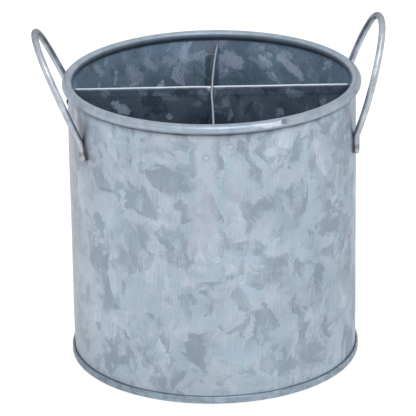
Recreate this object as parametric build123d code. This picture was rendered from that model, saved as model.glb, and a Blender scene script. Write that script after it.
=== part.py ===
from build123d import *
import os
from math import asin, atan2, cos, degrees, radians, sin, sqrt, tan

# A round galvanised cutlery caddy, in millimetres. The origin is on the table, on the body's axis.
# +Z is up, +X runs along the cross divider to the right, and the front is towards -Y.

# Sheet and wire
sheet_thickness = 0.4
rim_wire_diameter = 4.4
handle_wire_diameter = 3.5

# Wall and rim
wall_outer_radius = 75.0
body_height = 152.6
rim_outward_offset = 0.4  # from the middle of the wall to the middle of the rim wire
rim_bend_radius = 0.5  # middle line of the bend that leads from the wall into the curl
rim_curl_end_angle = -75.0  # where the curl's free edge stops, under the outside of the rim
curl_clearance = 0.06  # between the rim wire and the curl

# Lap where the ends of the wall's sheet meet, at the back
side_seam_lap = 8.0
side_seam_angle = 97.0
side_seam_end_gap = 0.5

# Folded seam that joins the base to the wall
seam_band_height = 3.8
seam_clearance = 0.08  # between neighbouring layers of the fold

# Dividers
divider_rim_gap = 0.4  # from the underside of the rim down to the dividers' top edges
divider_wall_clearance = 0.1
hem_height = 5.0
hem_gap = 0.1
hem_end_setback = 4.0  # from the wall to the end of the hem's second layer
slot_clearance = 0.3
slot_split_share = 0.5  # of the dividers' height, where the two slots meet
long_divider_bend_angle = 3.6  # the back half leans this far to the right
tab_width = 5.8
tab_height = 7.8
tab_slope_drop = 4.2  # how much lower the tab's top corner is at its free end
tab_bend_radius = 0.8

# Handles: each loop lies in a plane that leans outwards from two feet on the wall
weld_set_down = 0.2  # how far each foot is pressed into its weld
handle_foot_length = 9.8
handle_bend_radius = 5.0
handle_tip_round = 0.6

left_handle_half_spread = 32.0  # from the loop's middle to a foot
left_handle_length = 52.9  # along the loop's plane, from the feet's bends to the crown
left_handle_crown_radius = 27.1
left_handle_splay_angle = 1.0
left_handle_lean_angle = 23.9
left_handle_foot_tilt_angle = 23.0  # how far the feet's tips spread apart along the wall
left_handle_turn_angle = 182.3
left_handle_bend_drop = 23.2  # from the top of the rim down to the feet's bends

right_handle_half_spread = 27.2
right_handle_length = 57.2
right_handle_crown_radius = 20.9
right_handle_splay_angle = 12.0
right_handle_lean_angle = 17.5
right_handle_foot_tilt_angle = 0.0
right_handle_turn_angle = 6.4
right_handle_bend_drop = 27.7

# One overrun for every cut that has to pass through a piece
cut_overrun = 2.0

# Radii and heights that follow from the sizes above
half_sheet = sheet_thickness / 2
wall_middle_radius = wall_outer_radius - half_sheet
wall_inner_radius = wall_outer_radius - sheet_thickness

curl_middle_radius = rim_wire_diameter / 2 + curl_clearance + half_sheet
rim_outer_radius = curl_middle_radius + half_sheet
rim_middle_radius = wall_middle_radius + rim_outward_offset
rim_middle_height = body_height - rim_outer_radius
rim_underside_height = rim_middle_height - rim_outer_radius

layer_pitch = sheet_thickness + seam_clearance
hem_layer_radius = wall_middle_radius + layer_pitch
flange_layer_radius = hem_layer_radius + layer_pitch
band_layer_radius = flange_layer_radius + layer_pitch
fold_radius = (flange_layer_radius - wall_middle_radius) / 2
fold_middle_radius = wall_middle_radius + fold_radius
fold_middle_height = sheet_thickness + seam_clearance + half_sheet + fold_radius
band_corner_radius = fold_radius + layer_pitch
band_turn_height = seam_band_height - half_sheet - layer_pitch

base_top = sheet_thickness
divider_top = rim_underside_height - divider_rim_gap
divider_height = divider_top - base_top
divider_end_radius = wall_inner_radius - divider_wall_clearance
slot_split_height = base_top + divider_height * slot_split_share
hem_pitch = sheet_thickness + hem_gap
hem_thickness = sheet_thickness + hem_pitch


def turned_sheet(middle_line):
    """A sheet of revolution about the body's axis, from the middle line of its section."""
    return revolve(Plane.XZ * trace(middle_line, line_width=sheet_thickness), axis=Axis.Z)


def upright_sheet(middle_line, bottom, top, thickness=sheet_thickness):
    """An upright sheet that follows a middle line drawn in plan."""
    return Pos(0, 0, bottom) * extrude(trace(middle_line, line_width=thickness), amount=top - bottom)


def body_wall():
    """The rolled wall: base flange, fold, wall, and the curl round the rim wire, as one sheet."""
    flange = Line((flange_layer_radius, band_turn_height), (flange_layer_radius, fold_middle_height))
    fold = CenterArc((fold_middle_radius, fold_middle_height), fold_radius, 0, -180)

    # The bend turns inwards from the wall and runs smoothly into the curl round the wire.
    bend_middle_radius = wall_middle_radius - rim_bend_radius
    across = rim_middle_radius - bend_middle_radius
    down = sqrt((curl_middle_radius + rim_bend_radius) ** 2 - across**2)
    meeting_angle = degrees(atan2(-down, -across))
    bend_start_height = rim_middle_height - down
    wall = Line((wall_middle_radius, fold_middle_height), (wall_middle_radius, bend_start_height))
    bend = CenterArc((bend_middle_radius, bend_start_height), rim_bend_radius, 0, meeting_angle + 180)
    curl_size = rim_curl_end_angle - meeting_angle - 360
    curl = CenterArc((rim_middle_radius, rim_middle_height), curl_middle_radius, meeting_angle, curl_size)
    sheet = turned_sheet([flange, fold, wall, bend, curl])

    # The sheet's outer end lies over its inner end, so the lap is two sheets thick.
    lap_angle = degrees(side_seam_lap / wall_outer_radius)
    lap_line = CenterArc((0, 0), wall_outer_radius, side_seam_angle - lap_angle / 2, lap_angle)
    lap_bottom = seam_band_height + side_seam_end_gap
    lap_top = rim_underside_height - side_seam_end_gap
    return sheet + upright_sheet(lap_line, lap_bottom, lap_top, sheet_thickness * 2)


def rim_wire():
    """The hoop of wire inside the curl."""
    return Pos(0, 0, rim_middle_height) * Torus(rim_middle_radius, rim_wire_diameter / 2)


def base_pan():
    """The bottom disc, turned up round the wall's fold and hemmed over its flange."""
    corner_middle_radius = band_layer_radius - band_corner_radius
    corner_middle_height = half_sheet + band_corner_radius
    disc = Line((0, half_sheet), (corner_middle_radius, half_sheet))
    corner = CenterArc((corner_middle_radius, corner_middle_height), band_corner_radius, -90, 90)
    band = Line((band_layer_radius, corner_middle_height), (band_layer_radius, band_turn_height))
    turn = CenterArc((flange_layer_radius, band_turn_height), layer_pitch, 0, 180)
    hem_bottom = fold_middle_height + seam_clearance
    hem = Line((hem_layer_radius, band_turn_height), (hem_layer_radius, hem_bottom))
    return turned_sheet([disc, corner, band, turn, hem])


def divider_line(start_angle, end_angle, sideways, setback):
    """A divider's line in plan, from wall to axis to wall, moved sideways to the right of its run."""
    start_way = Vector(1, 0).rotate(Axis.Z, start_angle)
    end_way = Vector(1, 0).rotate(Axis.Z, end_angle)
    start_side = start_way.rotate(Axis.Z, 90)
    end_side = end_way.rotate(Axis.Z, -90)
    reach = divider_end_radius - setback
    corner = (start_side + end_side) * (sideways / (1 + start_side.dot(end_side)))
    return Polyline(start_way * reach + start_side * sideways, corner, end_way * reach + end_side * sideways)


def tab_line(angle):
    """A divider's end in plan, from the axis outwards, bent round to lie along the wall."""
    tab_radius = divider_end_radius - half_sheet
    way = Vector(1, 0).rotate(Axis.Z, angle)
    bend_start = sqrt((tab_radius - tab_bend_radius) ** 2 - tab_bend_radius**2)
    bend_angle = degrees(asin(tab_bend_radius / (tab_radius - tab_bend_radius)))
    bend_end = Vector(tab_radius, 0).rotate(Axis.Z, angle + bend_angle)
    tab_angle = degrees(tab_width / tab_radius)
    straight = Line((0, 0), way * bend_start)
    bend = TangentArc(way * bend_start, bend_end, tangent=way)
    tab = CenterArc((0, 0), tab_radius, angle + bend_angle, tab_angle - bend_angle)
    return [straight, bend, tab]


def tab_slope_cut(angle, top):
    """The wedge above a tab's sloping top edge."""
    tab_middle_angle = angle + degrees(tab_width / divider_end_radius) / 2
    wall_point = Vector(divider_end_radius, 0, top).rotate(Axis.Z, angle)
    along_wall = Vector(0, 1).rotate(Axis.Z, tab_middle_angle)
    outwards = Vector(1, 0).rotate(Axis.Z, tab_middle_angle)
    start = tab_bend_radius + sheet_thickness
    end = tab_width + cut_overrun
    drop = tab_slope_drop * (end - start) / (tab_width - start)
    outline = Polyline((start, 0), (end, -drop), (end, cut_overrun), (start, cut_overrun), close=True)
    wedge = Plane(origin=wall_point, x_dir=along_wall, z_dir=outwards) * make_face(outline)
    return extrude(wedge, amount=tab_width, both=True)


def divider(start_angle, end_angle):
    """An upright sheet across the body, hemmed along its top and bent into a tab at each end."""
    fold_height = divider_top - hem_thickness / 2
    tab_bottom = divider_top - tab_height
    lower = upright_sheet(divider_line(start_angle, end_angle, 0, 0), base_top, tab_bottom)
    tabs = [*tab_line(start_angle), *tab_line(end_angle)]
    sheet = lower + upright_sheet(tabs, tab_bottom, fold_height)
    sheet -= tab_slope_cut(start_angle, fold_height) + tab_slope_cut(end_angle, fold_height)

    second_layer = divider_line(start_angle, end_angle, hem_pitch, hem_end_setback)
    sheet += upright_sheet(second_layer, divider_top - hem_height, fold_height)
    fold_line = divider_line(start_angle, end_angle, hem_pitch / 2, hem_end_setback)
    fold_start = Plane(origin=fold_line @ 0, x_dir=Vector(0, 0, 1), z_dir=fold_line % 0)
    upper_half = Rectangle(hem_thickness, hem_thickness, align=(Align.MIN, Align.CENTER))
    half_round = fold_start * (Circle(hem_thickness / 2) & upper_half)
    fold = sweep(half_round, path=fold_line, transition=Transition.RIGHT)
    return sheet + Pos(0, 0, fold_height) * fold


def cross_divider():
    """The left to right divider, slotted from its top edge for the other one."""
    slot_width = hem_thickness + 2 * slot_clearance
    slot_depth = hem_thickness * 2 + cut_overrun
    slot_height = divider_top + cut_overrun - slot_split_height
    slot = Box(slot_width, slot_depth, slot_height, align=(Align.CENTER, Align.CENTER, Align.MIN))
    return divider(180, 0) - Pos(hem_pitch / 2, 0, slot_split_height) * slot


def long_divider():
    """The front to back divider, slotted from its bottom edge, and bent a little at the middle."""
    slot_width = sheet_thickness + 2 * slot_clearance
    slot_depth = sheet_thickness + cut_overrun
    slot_height = slot_split_height + slot_clearance
    slot = Box(slot_depth, slot_width, slot_height, align=(Align.CENTER, Align.CENTER, Align.MIN))
    return divider(-90, 90 - long_divider_bend_angle) - slot


def handle(half_spread, length, crown_radius, splay_angle, lean_angle, foot_tilt_angle, turn_angle, bend_drop):
    """A wire loop on two feet, its plane leaning outwards, turned to its place on the wall."""
    wire_radius = handle_wire_diameter / 2
    foot_radius = wall_outer_radius + wire_radius - weld_set_down
    foot_out = sqrt(foot_radius**2 - half_spread**2)
    upwards = Vector(0, 0, 1)
    up_loop = Vector(sin(radians(lean_angle)), 0, cos(radians(lean_angle)))
    across = Vector(0, 1, 0)
    bend_height = body_height - bend_drop
    loop_plane = Plane(origin=(foot_out, 0, bend_height), x_dir=across, z_dir=across.cross(up_loop))

    # The foot's bend takes up a little of the foot and as much of the leg.
    along_wall = Vector(half_spread, -foot_out).normalized()
    foot_way = upwards * cos(radians(foot_tilt_angle)) + along_wall * sin(radians(foot_tilt_angle))
    leg_way = across * sin(radians(splay_angle)) + up_loop * cos(radians(splay_angle))
    bend_reach = handle_bend_radius * tan(radians(foot_way.get_angle(leg_way) / 2))
    corner = loop_plane.from_local_coords((half_spread, 0, 0))
    foot_tip = corner - foot_way * handle_foot_length
    foot_top = corner - foot_way * bend_reach
    leg_start = corner + leg_way * bend_reach

    # The leg is an arc that runs smoothly into the crown's arc, whose centre is on the loop's middle.
    splay = radians(splay_angle)
    leg_spread = half_spread + bend_reach * sin(splay)
    leg_bottom = bend_reach * cos(splay)
    crown_middle = length - crown_radius
    rise = crown_middle - leg_bottom
    spare = leg_spread * cos(splay) + rise * sin(splay) - crown_radius
    leg_radius = (leg_spread**2 + rise**2 - crown_radius**2) / (2 * spare)
    leg_middle = Vector(leg_spread - leg_radius * cos(splay), leg_bottom + leg_radius * sin(splay))
    meeting = leg_middle + (Vector(0, crown_middle) - leg_middle).normalized() * leg_radius
    leg_end = loop_plane.from_local_coords(meeting)
    crown_top = loop_plane.from_local_coords((0, length, 0))

    foot = Line(foot_tip, foot_top)
    bend = TangentArc(foot_top, leg_start, tangent=foot_way)
    leg = TangentArc(leg_start, leg_end, tangent=leg_way)
    crown = ThreePointArc(leg_end, crown_top, Vector(leg_end.X, -leg_end.Y, leg_end.Z))
    one_side = [foot, bend, leg]
    other_side = [mirror(edge, about=Plane.XZ) for edge in one_side]
    path = Wire([edge for curve in [*one_side, crown, *other_side] for edge in curve.edges()])
    loop = sweep(Plane(origin=foot_tip, z_dir=foot_way) * Circle(wire_radius), path=path)
    tips = loop.edges().filter_by(GeomType.CIRCLE).sort_by(Axis.Z)[:2]
    loop = fillet(tips, radius=handle_tip_round)
    wall = Cylinder(wall_outer_radius, body_height, align=(Align.CENTER, Align.CENTER, Align.MIN))
    return Rot(0, 0, turn_angle) * (loop - wall)


def left_handle():
    """The wider, lower loop on the left."""
    return handle(
        left_handle_half_spread,
        left_handle_length,
        left_handle_crown_radius,
        left_handle_splay_angle,
        left_handle_lean_angle,
        left_handle_foot_tilt_angle,
        left_handle_turn_angle,
        left_handle_bend_drop,
    )


def right_handle():
    """The narrower, taller loop on the right."""
    return handle(
        right_handle_half_spread,
        right_handle_length,
        right_handle_crown_radius,
        right_handle_splay_angle,
        right_handle_lean_angle,
        right_handle_foot_tilt_angle,
        right_handle_turn_angle,
        right_handle_bend_drop,
    )


os.makedirs("parts", exist_ok=True)
for piece in [body_wall, rim_wire, base_pan, cross_divider, long_divider, left_handle, right_handle]:
    export_step(piece(), f"parts/{piece.__name__}.step")
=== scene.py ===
from math import asin, atan2, ceil, cos, degrees, pi, radians, sin, sqrt, tan
from typing import NamedTuple

import bmesh
import bpy
from mathutils import Matrix, Vector, noise


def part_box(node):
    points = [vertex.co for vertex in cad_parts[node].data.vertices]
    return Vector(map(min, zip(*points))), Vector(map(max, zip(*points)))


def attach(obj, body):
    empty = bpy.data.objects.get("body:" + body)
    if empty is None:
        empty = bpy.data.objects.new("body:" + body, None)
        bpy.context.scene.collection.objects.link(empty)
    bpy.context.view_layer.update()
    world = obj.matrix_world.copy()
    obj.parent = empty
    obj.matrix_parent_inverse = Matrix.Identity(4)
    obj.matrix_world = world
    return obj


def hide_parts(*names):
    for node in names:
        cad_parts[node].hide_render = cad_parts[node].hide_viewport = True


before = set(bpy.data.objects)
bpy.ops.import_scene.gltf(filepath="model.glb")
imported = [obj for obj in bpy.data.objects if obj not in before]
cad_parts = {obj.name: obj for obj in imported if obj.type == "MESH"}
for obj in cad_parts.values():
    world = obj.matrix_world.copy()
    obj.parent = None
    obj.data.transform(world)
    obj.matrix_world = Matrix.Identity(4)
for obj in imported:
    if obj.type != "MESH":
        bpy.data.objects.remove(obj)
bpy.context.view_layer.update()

# A round galvanised cutlery caddy, in metres. The origin is on the table, on the body's axis.
# +Z is up, +X runs along the cross divider to the right, and the front is towards -Y.
mm = 0.001
upwards = Vector((0, 0, 1))
same_place = 1e-6

# Sizes read from the frame
rim_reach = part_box("body_wall")[1].x
body_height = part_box("body_wall")[1].z
band_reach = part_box("base_pan")[1].x
band_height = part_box("base_pan")[1].z
divider_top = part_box("cross_divider")[1].z

# Sheet and wire
sheet = 0.4 * mm
half_sheet = sheet / 2
handle_wire_radius = 1.75 * mm

# Wall, rim and base seam
wall_radius = 75.0 * mm
wall_middle_radius = wall_radius - half_sheet
wall_inner_radius = wall_radius - sheet
bead_radius = 2.66 * mm
curl_radius = bead_radius - half_sheet
rim_middle_radius = rim_reach - bead_radius
rim_middle_height = body_height - bead_radius
rim_underside = rim_middle_height - bead_radius
rim_bend_radius = 0.5 * mm
curl_end_angle = -75.0
layer_clearance = 0.08 * mm
layer_pitch = sheet + layer_clearance
band_radius = band_reach - half_sheet
flange_radius = band_radius - layer_pitch
hem_layer_radius = flange_radius - layer_pitch
fold_radius = (flange_radius - wall_middle_radius) / 2
fold_middle_height = sheet + layer_clearance + half_sheet + fold_radius
band_corner_radius = fold_radius + layer_pitch
band_turn_height = band_height - half_sheet - layer_pitch

# Unevenness left by rolling the wall and folding the band by hand
ripple_depth = 0.3 * mm
ripple_length = 45.0 * mm
ripple_fade = 20.0 * mm
band_wobble = 0.45 * mm
band_wobble_length = 16.0 * mm

# Lap where the ends of the wall's sheet meet, at the back
seam_angle = radians(97.0)
seam_lap = 8.0 * mm
lap_half_angle = seam_lap / wall_radius / 2
lap_rise_share = 0.6
seam_end_gap = 0.5 * mm
seam_sink = 0.1 * mm
seam_weld_count = 9

# Dividers
base_top = sheet
divider_clearance = 0.1 * mm
divider_end_radius = wall_inner_radius - divider_clearance
hem_height = 5.0 * mm
hem_pitch = 0.5 * mm
hem_setback = 4.0 * mm
hem_bottom = divider_top - hem_height
hem_reach = divider_end_radius - hem_setback
fold_height = divider_top - hem_pitch / 2 - half_sheet
slot_clearance = 0.3 * mm
slot_split_height = (base_top + divider_top) / 2
cross_half_slot = hem_pitch / 2 + half_sheet + slot_clearance
long_half_slot = half_sheet + slot_clearance
long_divider_bend = radians(3.6)
long_divider_bow = -0.45 * mm
front_angle = -pi / 2
back_end_angle = pi / 2 - long_divider_bend
tab_width = 5.8 * mm
tab_height = 7.8 * mm
tab_bottom = divider_top - tab_height
tab_slope_drop = 4.2 * mm
tab_bend_radius = 0.8 * mm
tab_radius = divider_end_radius - half_sheet
tab_bend_start = sqrt((tab_radius - tab_bend_radius) ** 2 - tab_bend_radius**2)
tab_bend_angle = asin(tab_bend_radius / (tab_radius - tab_bend_radius))
tab_angle = tab_width / tab_radius
grid_step = 2.5 * mm
dent_depth = 0.5 * mm
dent_length = 32.0 * mm
dent_fade = 14.0 * mm
lip_flare = 1.1 * mm
lip_length = 3.2 * mm

# Welds. Those of the front tab are placed by their angle from the front, those of the other tabs by
# their share of the tab's width, and all of them by their depth below the dividers' top.
front_weld_places = ((radians(5.9), 6.6 * mm), (radians(-3.3), 12.1 * mm))
tab_weld_places = ((0.45, 4.4 * mm), (0.75, 6.2 * mm))
spot_radius = 1.5 * mm
spot_rise = 0.12 * mm
spot_sink = 0.15 * mm
foot_bead_radius = 0.38 * mm
foot_bead_low_share = 0.02
foot_bead_high_share = 0.95
bead_lump_size = 1.3 * mm
bead_lumpiness = 1.2
bead_end_share = 0.2
drop_angle = radians(-176.0)
drop_below_rim = 3.9 * mm
drop_length = 3.6 * mm
drop_radius = 0.8 * mm

# Handles
weld_set_down = 0.2 * mm
foot_length = 9.8 * mm
foot_bend_radius = 5.0 * mm
tip_round = 1.5 * mm
foot_radius = wall_radius + handle_wire_radius - weld_set_down

# How many steps or sides the stretches of the meshes are made with, and where their edges stay sharp
steps_round = 240
flange_steps = 3
fold_steps = 10
wall_steps = 44
rim_bend_steps = 6
curl_steps = 48
disc_steps = 24
corner_steps = 10
band_steps = 3
band_turn_steps = 12
hem_layer_steps = 2
lap_steps = 12
spot_steps = 8
spot_steps_round = 20
hem_fold_steps = 8
hem_side_steps = 4
lip_steps = 6
tab_steps = 8
foot_steps = 6
foot_bend_steps = 8
leg_steps = 26
crown_steps = 22
wire_sides = 28
bead_path_steps = 6
bead_points = 28
bead_sides = 10
sharp_angle = radians(40)


class Loop(NamedTuple):
    """The sizes of one handle: its loop lies in a plane that leans outwards from two feet on the wall."""

    half_spread: float
    length: float
    crown_radius: float
    splay: float
    lean: float
    foot_tilt: float
    turn: float
    bend_drop: float


left_loop = Loop(
    half_spread=32.0 * mm,
    length=52.9 * mm,
    crown_radius=27.1 * mm,
    splay=radians(1.0),
    lean=radians(23.9),
    foot_tilt=radians(23.0),
    turn=radians(182.3),
    bend_drop=23.2 * mm,
)
right_loop = Loop(
    half_spread=27.2 * mm,
    length=57.2 * mm,
    crown_radius=20.9 * mm,
    splay=radians(12.0),
    lean=radians(17.5),
    foot_tilt=0.0,
    turn=radians(6.4),
    bend_drop=27.7 * mm,
)


def flat(angle):
    """A level unit vector at an angle from +X."""
    return Vector((cos(angle), sin(angle), 0))


def on_wall(angle, height):
    """A point of the wall's outer face, before it is made uneven."""
    return flat(angle) * wall_radius + upwards * height


def spread(breaks, step):
    """The breaks in order, with evenly spaced values between them, no further apart than the step."""
    ordered = sorted(set(breaks))
    values = ordered[:1]
    for low, high in zip(ordered, ordered[1:]):
        count = ceil((high - low) / step)
        values += [low + (high - low) * index / count for index in range(1, count)]
        values.append(high)
    return values


def shares(steps):
    """Evenly spaced values from 0 to 1."""
    return [step / steps for step in range(steps + 1)]


def fading(distance, length):
    """A smooth rise from 0 at no distance to 1 at the given length."""
    share = min(max(distance / length, 0), 1)
    return share * share * (3 - 2 * share)


# Handle paths


def foot_line(loop):
    """One foot's way along the wall, its upper end and its tip, before the handle is turned."""
    out = sqrt(foot_radius**2 - loop.half_spread**2)
    along_wall = Vector((loop.half_spread, -out, 0)).normalized()
    way = upwards * cos(loop.foot_tilt) + along_wall * sin(loop.foot_tilt)
    corner = Vector((out, loop.half_spread, body_height - loop.bend_drop))
    return way, corner, corner - way * foot_length


def arc_points(middle, radius, start, end, count):
    """Points along an arc in a loop's plane, after its start, from one angle to the other."""
    angles = [start + (end - start) * step / count for step in range(1, count + 1)]
    return [middle + Vector((cos(angle), sin(angle))) * radius for angle in angles]


def leg_points(loop, leg_spread, leg_bottom):
    """A leg's arc and the half of the crown that it runs into: across the loop, and up it."""
    crown_middle = Vector((0, loop.length - loop.crown_radius))
    rise = crown_middle.y - leg_bottom
    spare = leg_spread * cos(loop.splay) + rise * sin(loop.splay) - loop.crown_radius
    leg_radius = (leg_spread**2 + rise**2 - loop.crown_radius**2) / (2 * spare)
    leg_middle = Vector((leg_spread, leg_bottom)) - Vector((cos(loop.splay), -sin(loop.splay))) * leg_radius
    to_crown = crown_middle - leg_middle
    meeting_angle = atan2(to_crown.y, to_crown.x)
    leg = arc_points(leg_middle, leg_radius, -loop.splay, meeting_angle, leg_steps)
    return leg + arc_points(crown_middle, loop.crown_radius, meeting_angle, pi / 2, crown_steps)


def handle_path(loop):
    """The middle line of a handle's wire, from one foot's tip over the crown to the other."""
    foot_way, corner, foot_tip = foot_line(loop)
    sideways = Vector((0, 1, 0))
    up_loop = Vector((sin(loop.lean), 0, cos(loop.lean)))
    leg_way = sideways * sin(loop.splay) + up_loop * cos(loop.splay)
    bend = foot_way.angle(leg_way)
    bend_reach = foot_bend_radius * tan(bend / 2)
    foot_top = corner - foot_way * bend_reach

    # The tip is rounded over a short length, so its points are close together.
    tip_shares = (0, 0.02, 0.08, 0.2, 0.4, 0.7, 1)
    points = [foot_tip + foot_way * tip_round * share for share in tip_shares]
    points += [points[-1].lerp(foot_top, share) for share in shares(foot_steps)[1:]]
    turn_way = (leg_way - foot_way * leg_way.dot(foot_way)).normalized()
    for share in shares(foot_bend_steps)[1:]:
        turn = bend * share
        points.append(foot_top + (turn_way * (1 - cos(turn)) + foot_way * sin(turn)) * foot_bend_radius)

    middle = Vector((corner.x, 0, corner.z))
    leg_spread = loop.half_spread + bend_reach * sin(loop.splay)
    leg_bottom = bend_reach * cos(loop.splay)
    for across, up in leg_points(loop, leg_spread, leg_bottom):
        points.append(middle + sideways * across + up_loop * up)
    mirrored = [Vector((point.x, -point.y, point.z)) for point in points[-2::-1]]
    turn = Matrix.Rotation(loop.turn, 3, "Z")
    return [turn @ point for point in [*points, *mirrored]]


def feet(loop):
    """The upper end and the tip of a handle's two feet."""
    _, corner, tip = foot_line(loop)
    turn = Matrix.Rotation(loop.turn, 3, "Z")
    mirrors = [Vector((1, side, 1)) for side in (1, -1)]
    return [(turn @ (corner * mirror), turn @ (tip * mirror)) for mirror in mirrors]


# Weld places


def tab_welds():
    """Two welds on the outside of the wall for each of the dividers' tabs."""
    places = [(front_angle + turn, drop) for turn, drop in front_weld_places]
    for angle in (0, back_end_angle, pi):
        places += [(angle + tab_angle * share, drop) for share, drop in tab_weld_places]
    return [on_wall(angle, divider_top - drop) for angle, drop in places]


def seam_welds():
    """A row of welds up the lap at the back."""
    low = band_height + seam_lap
    high = rim_underside - seam_lap
    heights = spread([low, high], (high - low) / (seam_weld_count - 1))
    return [on_wall(seam_angle, height) + flat(seam_angle) * sheet for height in heights]


# Node trees


class Socket:
    """An output of a node. A sum written with it adds the Math nodes that work it out."""

    def __init__(self, tree, socket):
        self.tree = tree
        self.socket = socket

    def out(self, name):
        """Another output of the same node."""
        return Socket(self.tree, self.socket.node.outputs[name])

    def __add__(self, other):
        return self.tree.maths("ADD", self, other)

    def __radd__(self, other):
        return self.tree.maths("ADD", other, self)

    def __sub__(self, other):
        return self.tree.maths("SUBTRACT", self, other)

    def __rsub__(self, other):
        return self.tree.maths("SUBTRACT", other, self)

    def __mul__(self, other):
        return self.tree.maths("MULTIPLY", self, other)

    def __rmul__(self, other):
        return self.tree.maths("MULTIPLY", other, self)

    def __truediv__(self, other):
        return self.tree.maths("DIVIDE", self, other)

    def __rtruediv__(self, other):
        return self.tree.maths("DIVIDE", other, self)

    def __gt__(self, other):
        return self.tree.maths("GREATER_THAN", self, other)

    def __lt__(self, other):
        return self.tree.maths("LESS_THAN", self, other)

    def __abs__(self):
        return self.tree.maths("ABSOLUTE", self)


class Tree:
    """A tree of shader or geometry nodes."""

    def __init__(self, tree):
        self.tree = tree

    def fill(self, node, sockets):
        """Sets a node's input sockets, or links them where the value is another node's output."""
        for name, value in sockets.items():
            if isinstance(value, Socket):
                self.tree.links.new(value.socket, node.inputs[name])
            else:
                node.inputs[name].default_value = value

    def node(self, kind, settings=None, sockets=None):
        """Adds a node, with its settings first and then its sockets' values or links."""
        made = self.tree.nodes.new(kind)
        for name, value in (settings or {}).items():
            setattr(made, name, value)
        self.fill(made, sockets or {})
        return Socket(self, made.outputs[0]) if made.outputs else made

    def maths(self, operation, *values):
        """A sum worked out on values."""
        return self.node("ShaderNodeMath", {"operation": operation}, dict(enumerate(values)))

    def vector(self, operation, *values):
        """A sum worked out on vectors or colours."""
        return self.node("ShaderNodeVectorMath", {"operation": operation}, dict(enumerate(values)))

    def scaled(self, vector, factor):
        """A vector or colour times a value."""
        return self.node("ShaderNodeVectorMath", {"operation": "SCALE"}, {0: vector, "Scale": factor})

    def dot(self, one, other):
        """How far one vector runs along the other, times the other's length."""
        return self.vector("DOT_PRODUCT", one, other).out("Value")

    def length(self, vector):
        """How long a vector is."""
        return self.vector("LENGTH", vector).out("Value")

    def joined(self, x, y, z):
        """A vector from its three parts."""
        return self.node("ShaderNodeCombineXYZ", {}, {"X": x, "Y": y, "Z": z})

    def split(self, vector):
        """The three parts of a vector."""
        parts = self.node("ShaderNodeSeparateXYZ", {}, {"Vector": vector})
        return parts.out("X"), parts.out("Y"), parts.out("Z")

    def rise(self, value, low, high):
        """A smooth rise from 0 at the low value to 1 at the high one, or a fall where low is above high."""
        sockets = {"Value": value, "From Min": low, "From Max": high}
        return self.node("ShaderNodeMapRange", {"interpolation_type": "SMOOTHSTEP"}, sockets)

    def mixed(self, factor, one, other):
        """A colour that goes from one to the other as the factor goes from 0 to 1."""
        made = self.node("ShaderNodeMix", {"data_type": "RGBA"}, {"Factor": factor, 6: one, 7: other})
        return Socket(self, made.socket.node.outputs[2])

    def cloud(self, place, size, detail=2.0):
        """Soft random grey from 0 to 1, with lumps of about the given size."""
        return self.node("ShaderNodeTexNoise", {}, {"Vector": place, "Scale": 1 / size, "Detail": detail})


# Materials. Places and sizes in them are in millimetres.


def paint(red, green, blue):
    """A colour given as it looks on a screen, from 0 to 255."""
    levels = [channel / 255 for channel in (red, green, blue)]
    light = [s / 12.92 if s <= 0.04045 else ((s + 0.055) / 1.055) ** 2.4 for s in levels]
    return (*light, 1)


def unrolled_place(point):
    """Where a point of the wall is when the wall is unrolled: round from opposite the seam, and up."""
    turn = (atan2(point.y, point.x) - seam_angle) % (2 * pi) - pi
    return turn * wall_radius / mm, point.z / mm, 0


class Layer(NamedTuple):
    """One layer of zinc crystals: their size, how drawn out they are, their lean, share and strength."""

    size: float
    stretch: float
    lean: float
    share: float
    strength: float


class Zinc(NamedTuple):
    """The tones of a zinc surface, how rough, metallic and grainy it is, and its bright crystals."""

    cool: tuple
    warm: tuple
    dark: tuple
    pale: tuple
    roughness: float
    metallic: float
    grain: float
    frost: Layer


class Glint(NamedTuple):
    """One bright crystal: its two ends, across the sheet and up it, its half width and its strength."""

    start: tuple
    end: tuple
    half_width: float
    strength: float


crystal_layers = (
    Layer(size=20, stretch=0.7, lean=25, share=0.7, strength=0.8),
    Layer(size=12, stretch=1.5, lean=-38, share=0.5, strength=0.8),
    Layer(size=7, stretch=1.7, lean=70, share=0.45, strength=0.75),
    Layer(size=3.6, stretch=1.3, lean=12, share=0.35, strength=0.6),
)
outer_zinc = Zinc(
    cool=paint(159, 176, 190),
    warm=paint(168, 178, 190),
    dark=paint(138, 151, 165),
    pale=paint(182, 191, 204),
    roughness=0.46,
    metallic=0.92,
    grain=0.45,
    frost=Layer(size=6, stretch=1.4, lean=20, share=0.07, strength=0.6),
)
# The inside's zinc is set darker than the outside's, a painted shade for the inside of the body
inner_zinc = Zinc(
    cool=paint(136, 163, 185),
    warm=paint(142, 165, 186),
    dark=paint(119, 144, 166),
    pale=paint(204, 219, 244),
    roughness=0.75,
    metallic=0.6,
    grain=2.0,
    frost=Layer(size=7, stretch=1.4, lean=20, share=0.12, strength=0.9),
)
# The dividers' zinc is set much darker than the wall's, a painted shade for the inside of the body
divider_zinc = Zinc(
    cool=paint(110, 128, 146),
    warm=paint(115, 130, 147),
    dark=paint(82, 97, 114),
    pale=paint(180, 192, 210),
    roughness=0.6,
    metallic=0.85,
    grain=1.8,
    frost=Layer(size=4, stretch=1.4, lean=20, share=0.05, strength=0.6),
)

# Colours of bare and worn metal, and of painted highlights and reflections
rim_dull = paint(152, 166, 180)
rim_light = paint(165, 176, 188)
band_dull = paint(131, 147, 161)
band_light = paint(149, 163, 177)
wire_dull = paint(156, 163, 174)
wire_light = paint(194, 200, 208)
steel_dark = paint(92, 90, 90)
steel_light = paint(132, 134, 138)
weld_grey = paint(150, 150, 158)
crystal_and_highlight_lilac = paint(205, 219, 241)
wear_and_highlight_white = paint(218, 228, 238)
highlight_lilac = paint(218, 220, 236)
wear_and_highlight_grey = paint(166, 169, 177)
reflection_pale = paint(178, 184, 197)
left_reflection_tone = paint(179, 178, 183)
gripped_grey = paint(134, 132, 138)
shoulder_reflection_blue = paint(150, 172, 205)
worn_tan = paint(178, 176, 172)
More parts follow.
